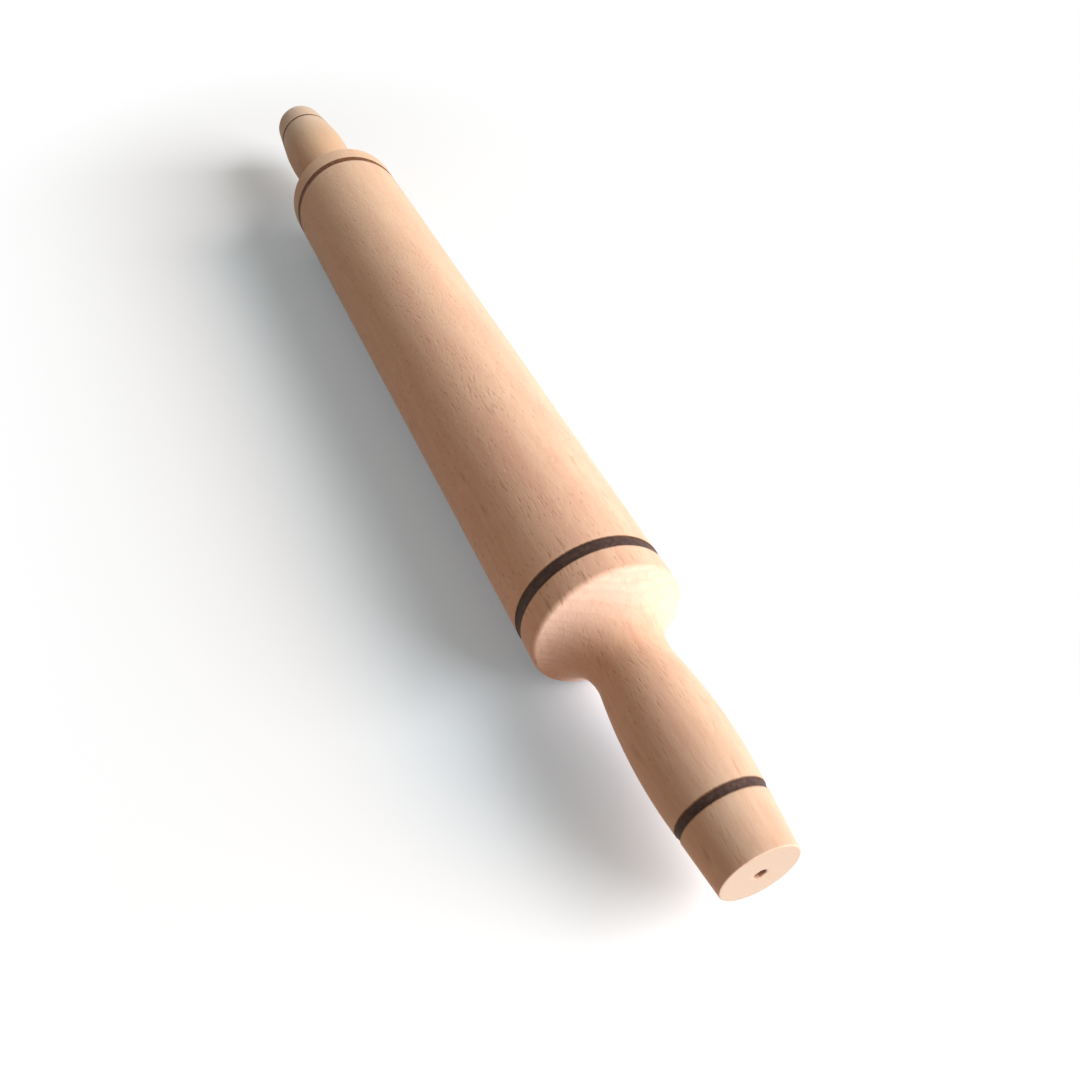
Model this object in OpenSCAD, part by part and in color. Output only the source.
// Turned rolling pin. One blank of pale beech is the barrel and both handles.
// Four dark bands are burnt into shallow grooves, two round the barrel and two round the handles.
// The pin lies along X with its middle at the origin. The near half is +X, the far half is -X.

/* [Barrel] */
// Diameter of the barrel
barrel_d = 50; // [40:0.5:60]
// Length of the barrel from one shoulder plane to the other
barrel_len = 290; // [150:1:420]
// Radius of the soft edge where the barrel turns into its shoulder
edge_r = 2; // [1:0.1:5]

/* [Handles] */
// Length of each handle from the shoulder plane to the end face
handle_len = 85; // [68:1:120]
// Diameter at the neck, the thinnest place of the handle
neck_d = 24.8; // [18:0.2:32]
// Radius of the hollow cove from the shoulder down to the neck
cove_r = 18.8; // [14:0.1:24]
// How much the radius grows from the neck to the fullest place of the grip
grip_rise = 2.4; // [1:0.1:4]
// Distance from the end face to the fullest place of the grip
grip_from_end = 37; // [30:1:45]
// Radius of the curve that leaves the fullest place towards the end
grip_arc_r = 140; // [60:5:150]
// How much the radius shrinks from the fullest place to the end face
end_drop = 3; // [1.5:0.1:4]
// Radius of the rounding round the end face
rim_r = 0.9; // [0.3:0.1:2]

/* [Burnt bands] */
// Distance from the shoulder plane to the middle of the near barrel band
barrel_band_near_at = 11.7; // [10:0.1:30]
// Width of the near barrel band
barrel_band_near_w = 3.9; // [1:0.1:6]
// Distance from the shoulder plane to the middle of the far barrel band
barrel_band_far_at = 12.4; // [10:0.1:30]
// Width of the far barrel band
barrel_band_far_w = 3.3; // [1:0.1:6]
// Distance from the end face to the middle of the near handle band
handle_band_near_at = 17.9; // [6:0.1:25]
// Width of the near handle band
handle_band_near_w = 2.4; // [0.6:0.1:4]
// Distance from the end face to the middle of the far handle band
handle_band_far_at = 16.2; // [6:0.1:25]
// Width of the far handle band
handle_band_far_w = 1.3; // [0.6:0.1:4]
// How far a band lies below the pale wood beside it
band_recess = 0.2; // [0.1:0.05:0.5]
// Thickness of the charred wood in a band
char_t = 0.6; // [0.3:0.05:1]

/* [Lathe centres] */
// Diameter of the mouth of the centre hole in each end face
centre_mouth_d = 4.6; // [3:0.1:8]
// Included angle of the centre hole's cone
centre_angle = 60; // [45:5:90]
// Diameter of the pilot hole at the bottom of the cone
pilot_d = 1.6; // [0.8:0.1:2.5]
// Length of the pilot hole below the cone
pilot_len = 3; // [1:0.5:10]

/* [Hidden] */
$fn = 128;
beech = [0.87, 0.71, 0.57];
scorched = [0.23, 0.16, 0.14];
// Small length by which a cut runs past the face that it opens
past = 1;
// Radii of barrel, neck, fullest grip and end face, and places of shoulder and end along X
barrel_r = barrel_d / 2;
neck_r = neck_d / 2;
grip_r = neck_r + grip_rise;
end_r = grip_r - end_drop;
shoulder_x = barrel_len / 2;
end_x = shoulder_x + handle_len;
// The soft edge and the cove are two circles that touch, so their centres are edge_r + cove_r apart
edge_x = shoulder_x - edge_r;
edge_to_cove = edge_r + cove_r;
centres_up = edge_to_cove - (barrel_r - neck_r);
neck_x = edge_x + sqrt(edge_to_cove ^ 2 - centres_up ^ 2);
shoulder_turn = acos(centres_up / edge_to_cove);
// The curve from the fullest place back to the neck has the radius at which it touches the cove
grip_x = end_x - grip_from_end;
neck_to_grip = grip_x - neck_x;
grip_to_cove = (grip_rise ^ 2 + neck_to_grip ^ 2) / (2 * grip_rise);
grip_in_r = grip_to_cove - cove_r;
grip_turn = asin(neck_to_grip / grip_to_cove);
// The straight taper runs from the rim and touches the grip's outer curve
corner_dist = norm([grip_from_end, grip_arc_r - end_drop]);
taper = atan2(grip_from_end, grip_arc_r - end_drop) - acos(grip_arc_r / corner_dist);
rim_y = end_r - rim_r * (1 - sin(taper)) / cos(taper);
// Depth of the cone of a centre hole
cone_len = (centre_mouth_d - pilot_d) / 2 / tan(centre_angle / 2);

// Points on a circle round centre, from one angle to another, as [radius, place along the pin].
// An arc that starts where the one before it ends has first = 1, so that no point comes twice.
function arc(centre, r, from, to, steps, first = 0) =
    [for (i = [first:steps]) let (a = from + (to - from) * i / steps) centre + r * [sin(a), cos(a)]];

// Outline of one half, from the middle of the barrel to the rim, with angles measured from the end's direction
half_outline = concat(
    arc([barrel_r - edge_r, edge_x], edge_r, 90, 90 - shoulder_turn, 10),
    arc([neck_r + cove_r, neck_x], cove_r, 270 - shoulder_turn, 270 + grip_turn, 20, 1),
    arc([grip_r - grip_in_r, grip_x], grip_in_r, 90 + grip_turn, 90, 8, 1),
    arc([grip_r - grip_arc_r, grip_x], grip_arc_r, 90, 90 - taper, 6, 1),
    arc([rim_y, end_x - rim_r], rim_r, 90 - taper, 0, 6)
);

// The whole outline mirrored about the middle, drawn in by depth all along the pin
function outline(depth) = concat(
    [for (p = half_outline) [p[0] - depth, p[1]]],
    [[0, end_x], [0, -end_x]],
    [for (i = [len(half_outline) - 1:-1:0]) [half_outline[i][0] - depth, -half_outline[i][1]]]
);

// Solid turned from the outline, drawn in by depth
module turned(depth = 0) {
    rotate([0, 90, 0])
        rotate_extrude()
            polygon(outline(depth));
}

// Slice of the space across the pin, w wide, with its middle at x
module slice(x, w) {
    translate([x, 0, 0])
        rotate([0, 90, 0])
            cylinder(d = barrel_d + 2 * past, h = w, center = true);
}

// What a groove takes out of the pin, down to the bottom of the charred wood
module groove(x, w) {
    difference() {
        slice(x, w);
        turned(band_recess + char_t);
    }
}

// Ring of charred wood that lies in a groove and follows the pin's outline
module band(x, w) {
    color(scorched)
        difference() {
            intersection() {
                slice(x, w);
                turned(band_recess);
            }
            turned(band_recess + char_t);
        }
}

// Cone and pilot that the lathe's centre leaves in an end face, opening towards +X
module centre_hole() {
    widening = 2 * past * tan(centre_angle / 2);
    rotate([0, 90, 0]) {
        translate([0, 0, end_x - cone_len])
            cylinder(d1 = pilot_d, d2 = centre_mouth_d + widening, h = cone_len + past);
        translate([0, 0, end_x - cone_len - pilot_len])
            cylinder(d = pilot_d, h = pilot_len + past);
    }
}

module turned_body() {
    color(beech)
        difference() {
            turned();
            groove(shoulder_x - barrel_band_near_at, barrel_band_near_w);
            groove(barrel_band_far_at - shoulder_x, barrel_band_far_w);
            groove(end_x - handle_band_near_at, handle_band_near_w);
            groove(handle_band_far_at - end_x, handle_band_far_w);
            centre_hole();
            mirror([1, 0, 0]) centre_hole();
        }
}

module barrel_band_near() {
    band(shoulder_x - barrel_band_near_at, barrel_band_near_w);
}

module barrel_band_far() {
    band(barrel_band_far_at - shoulder_x, barrel_band_far_w);
}

module handle_band_near() {
    band(end_x - handle_band_near_at, handle_band_near_w);
}

module handle_band_far() {
    band(handle_band_far_at - end_x, handle_band_far_w);
}

turned_body();
barrel_band_near();
barrel_band_far();
handle_band_near();
handle_band_far();
